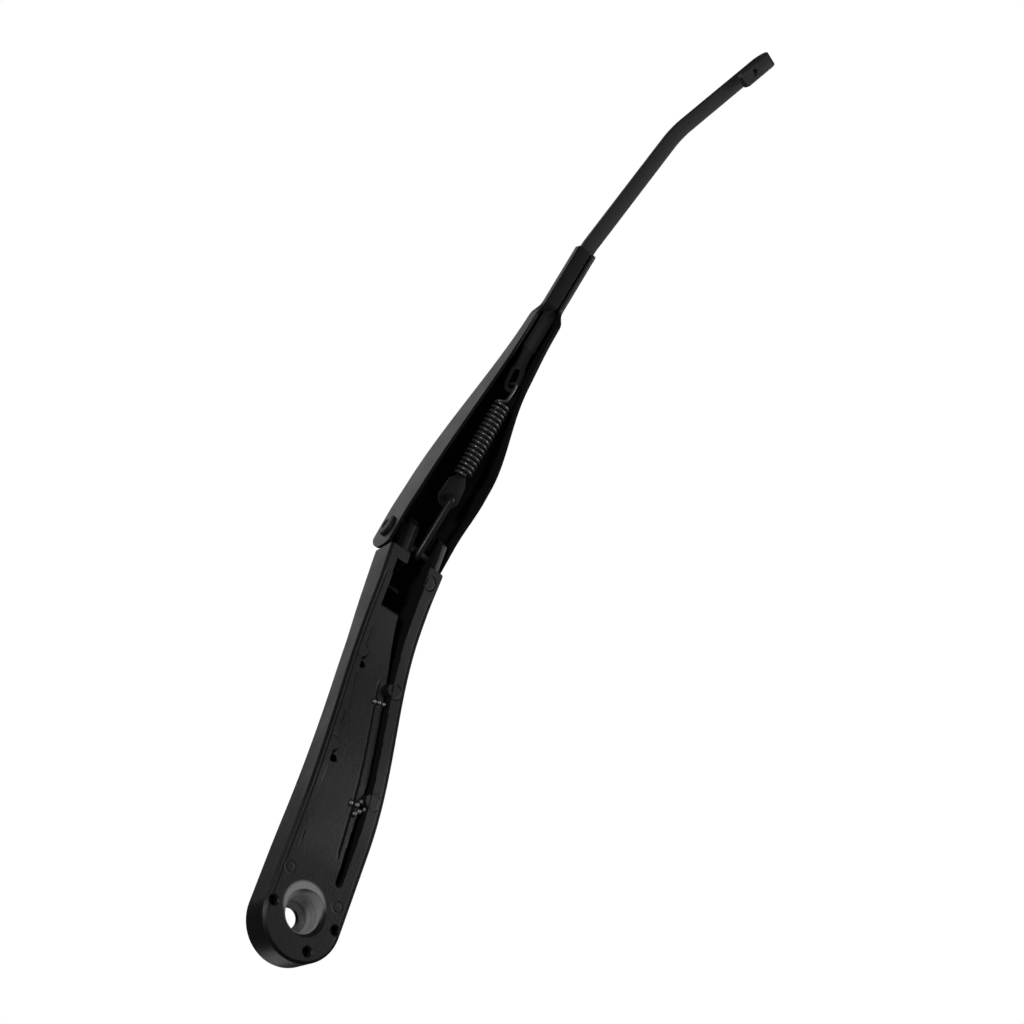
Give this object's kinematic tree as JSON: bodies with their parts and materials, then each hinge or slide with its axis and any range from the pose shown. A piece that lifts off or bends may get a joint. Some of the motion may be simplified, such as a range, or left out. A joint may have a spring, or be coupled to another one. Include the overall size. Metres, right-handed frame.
{
  "type": "wiper arm",
  "caption": "Black windscreen wiper arm with a die-cast spindle head, a folding pressed-steel channel with a tension spring inside, and a flat bar ending in a hook for the blade.",
  "frame": {"origin": "on the axis of the spindle bore, at the head's underside face", "axes": "+X towards the blade end, +Z along the spindle axis away from the glass"},
  "size_m": [0.6033, 0.0677, 0.1602],
  "materials": {
    "black_paint": "satin black coat over cast alloy and steel",
    "coated_steel": "thin glossy black coat on spring steel",
    "plain_steel": "plain drawn steel",
    "bush_plastic": "moulded black plastic"
  },
  "bodies": {
    "head": {"arm_head": "black_paint", "link_pin": "plain_steel", "hinge_bush_left": "bush_plastic", "hinge_bush_right": "bush_plastic"},
    "arm": {"channel": "black_paint", "hinge_rivet_left": "black_paint", "hinge_rivet_right": "black_paint", "arm_bar": "black_paint"},
    "link": {"wire_link": "coated_steel", "spring_anchor_plate": "coated_steel"},
    "spring": {"tension_spring": "coated_steel"}
  },
  "joints": [
    {"name": "arm_fold", "type": "hinge", "parent": "head", "child": "arm", "pos_m": [0.2313, 0, 0.0326], "axis": [0, -1, 0], "range_deg": [0, 75]},
    {"name": "link_swing", "type": "hinge", "parent": "head", "child": "link", "pos_m": [0.2243, 0.001, 0.02832], "axis": [0, -1, 0], "range_deg": [0, 70.5]},
    {"name": "spring_stretch", "type": "slide", "parent": "link", "child": "spring", "axis": [0.9285, 0, -0.3713], "range_m": [0, 0.005], "deforming": ["tension_spring"]}
  ],
  "couplings": [
    {"joint": "link_swing", "follows": "arm_fold", "ratio": 0.934},
    {"joint": "spring_stretch", "follows": "arm_fold", "m_per_rad": 0.0036}
  ]
}
